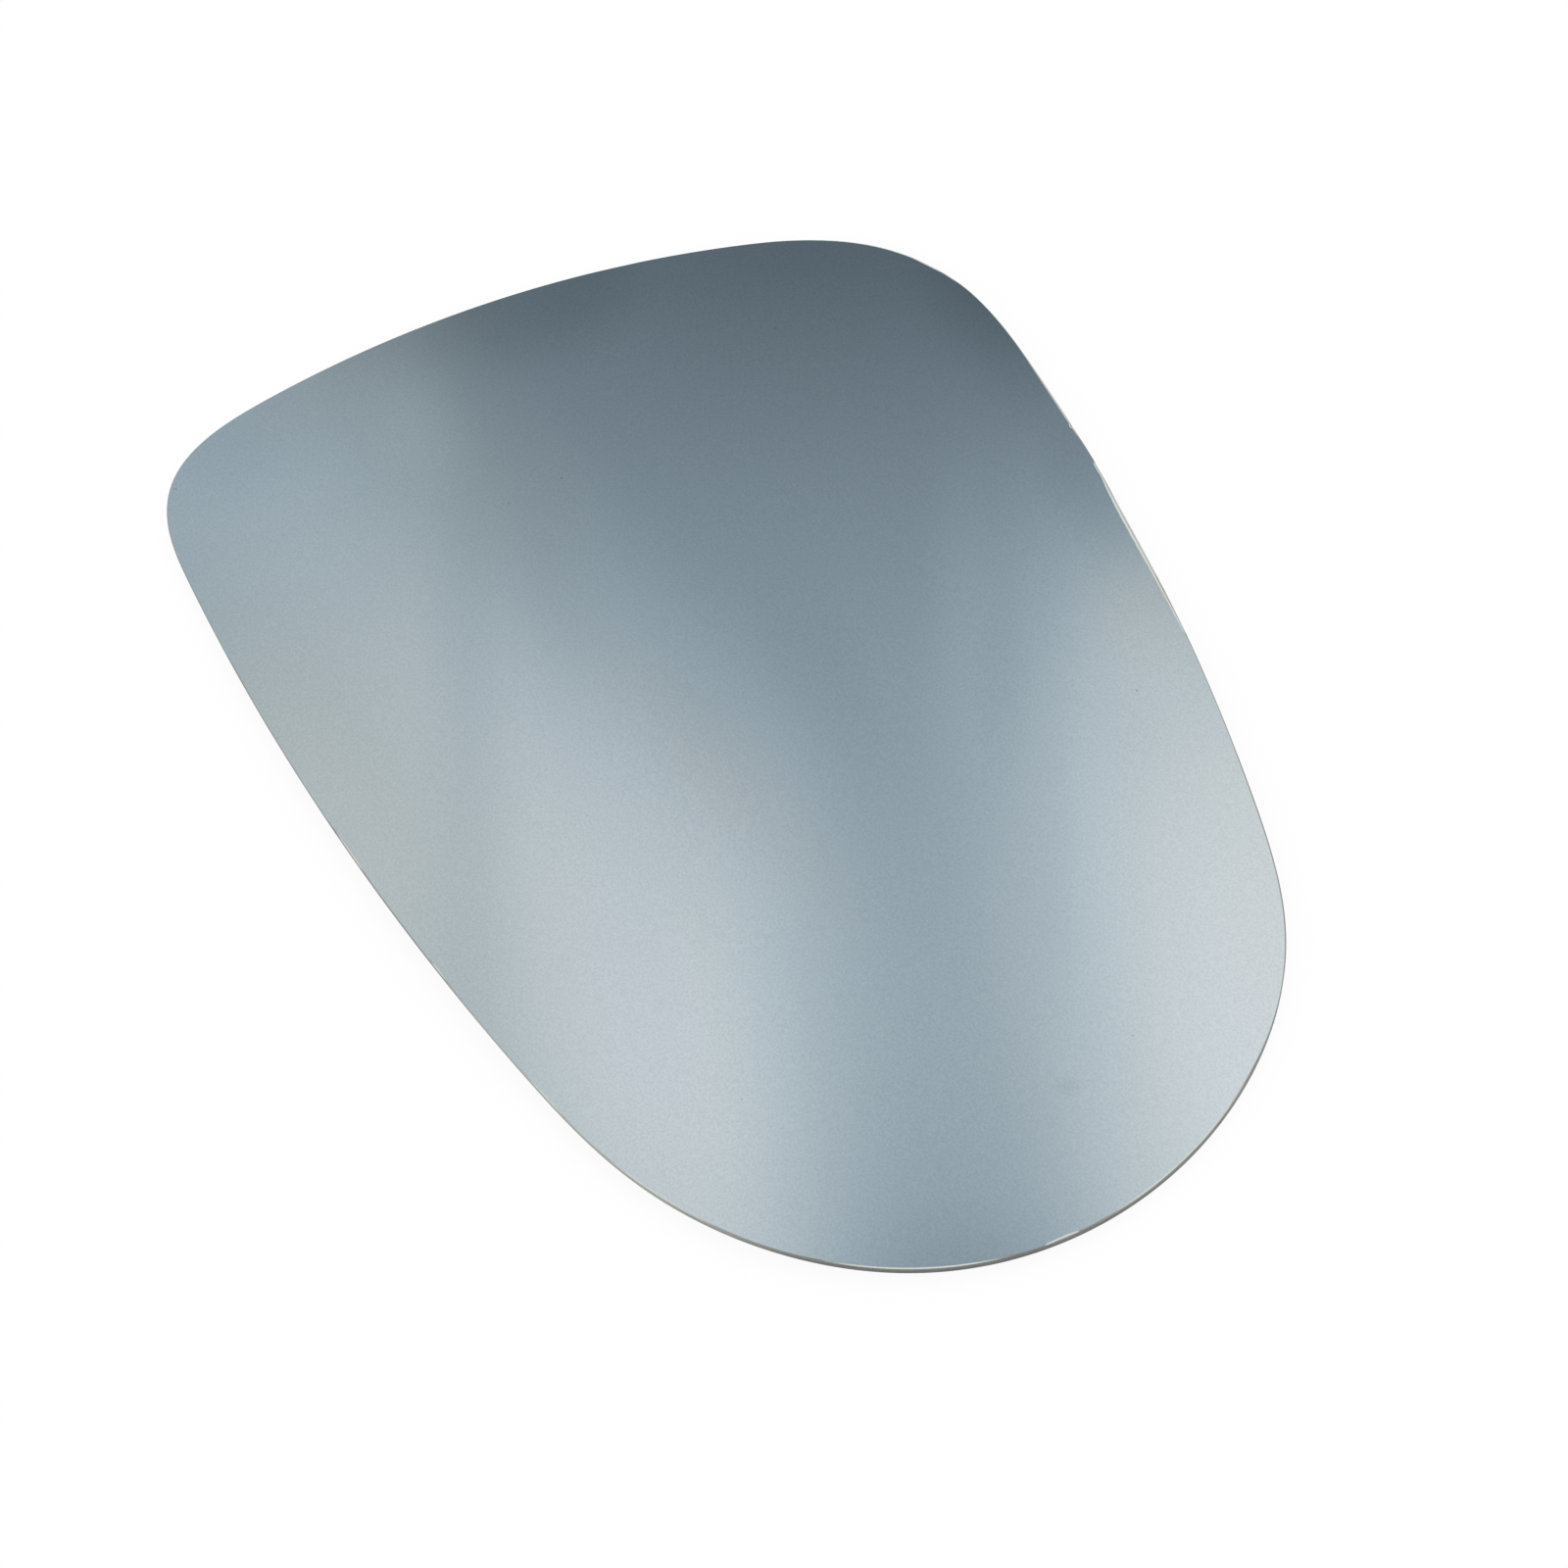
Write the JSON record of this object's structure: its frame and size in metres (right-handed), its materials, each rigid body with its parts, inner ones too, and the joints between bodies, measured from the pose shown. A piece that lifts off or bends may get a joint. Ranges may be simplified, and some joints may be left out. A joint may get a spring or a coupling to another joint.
{
  "type": "door mirror glass",
  "caption": "Bare convex glass of a car's door mirror: a thin bent sheet with a silvered face, a tall leaning end, a round end and a ground, seamed edge.",
  "frame": {"origin": "middle of the outline's box at the lowest line of the rim, where the glass stands on a flat surface", "axes": "+X towards the round end along the length, +Y towards the upper edge, +Z out of the convex mirror face"},
  "size_m": [0.1744, 0.1222, 0.0059],
  "materials": {
    "mirror_glass": "polished, blue-grey, with a ground edge"
  },
  "bodies": {
    "root": {"mirror_glass": "mirror_glass"}
  },
  "joints": []
}
